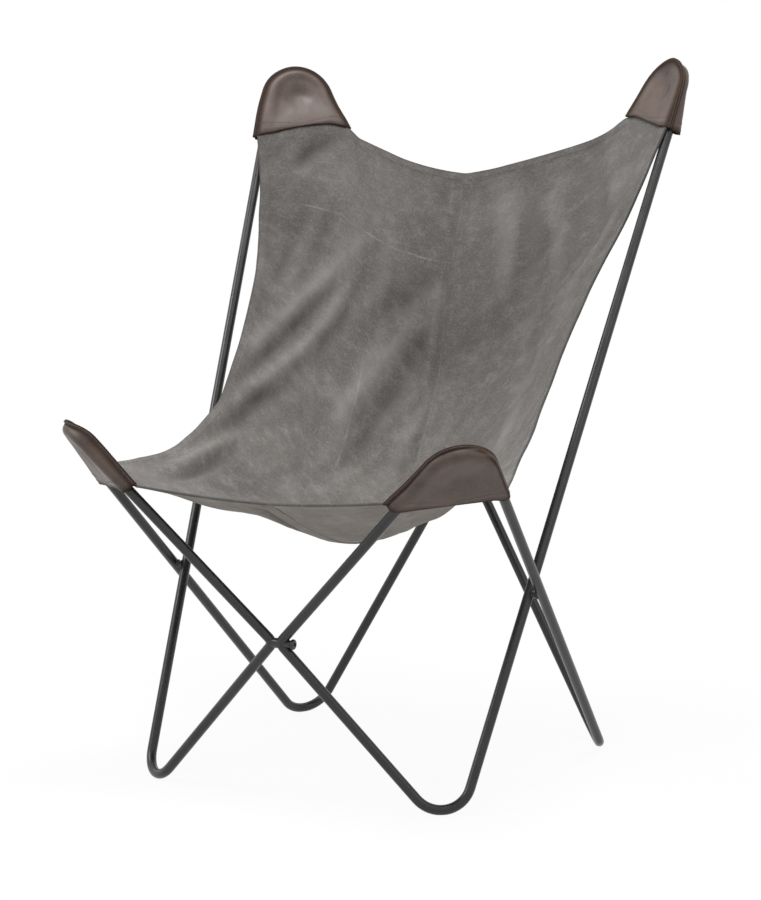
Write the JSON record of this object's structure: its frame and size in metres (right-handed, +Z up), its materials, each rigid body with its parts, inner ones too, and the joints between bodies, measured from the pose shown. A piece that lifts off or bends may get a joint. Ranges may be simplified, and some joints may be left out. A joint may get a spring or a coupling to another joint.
{
  "type": "butterfly sling chair",
  "caption": "Low lounge chair: a bent steel tube frame crossing into raised horns carries a sewn canvas sling by leather corner pockets.",
  "frame": {"origin": "on the floor under the middle of the chair's bounding box", "axes": "+Z up, -Y towards the front of the seat, +X to the sitter's left hand; the mirror plane is x = 0"},
  "size_m": [0.639, 0.6634, 0.9196],
  "materials": {
    "frame_steel": "dark charcoal satin powder coat",
    "joint_hardware": "black coated steel",
    "sling_canvas": "waxed grey-taupe canvas with pale creases",
    "pocket_leather": "smooth dark brown leather, semi-gloss"
  },
  "bodies": {
    "root": {"front_tube_left": "frame_steel", "front_tube_right": "frame_steel", "rear_tube_left": "frame_steel", "rear_tube_right": "frame_steel", "front_horn_spigot_left": "frame_steel", "front_horn_spigot_right": "frame_steel", "rear_horn_spigot_left": "frame_steel", "rear_horn_spigot_right": "frame_steel", "side_stub_left": "frame_steel", "side_stub_right": "frame_steel", "front_joint_spacer": "joint_hardware", "front_joint_saddle": "joint_hardware", "front_joint_bolt": "joint_hardware", "front_joint_plug": "joint_hardware", "rear_joint_spacer": "joint_hardware", "rear_joint_saddle": "joint_hardware", "rear_joint_bolt": "joint_hardware", "rear_joint_plug": "joint_hardware", "canvas_panel_left": "sling_canvas", "canvas_panel_right": "sling_canvas", "centre_seam_tape": "sling_canvas", "front_pocket_seat_skin_left": "pocket_leather", "front_pocket_seat_skin_right": "pocket_leather", "front_pocket_outer_skin_left": "pocket_leather", "front_pocket_outer_skin_right": "pocket_leather", "rear_pocket_seat_skin_left": "pocket_leather", "rear_pocket_seat_skin_right": "pocket_leather", "rear_pocket_outer_skin_left": "pocket_leather", "rear_pocket_outer_skin_right": "pocket_leather"}
  },
  "joints": []
}
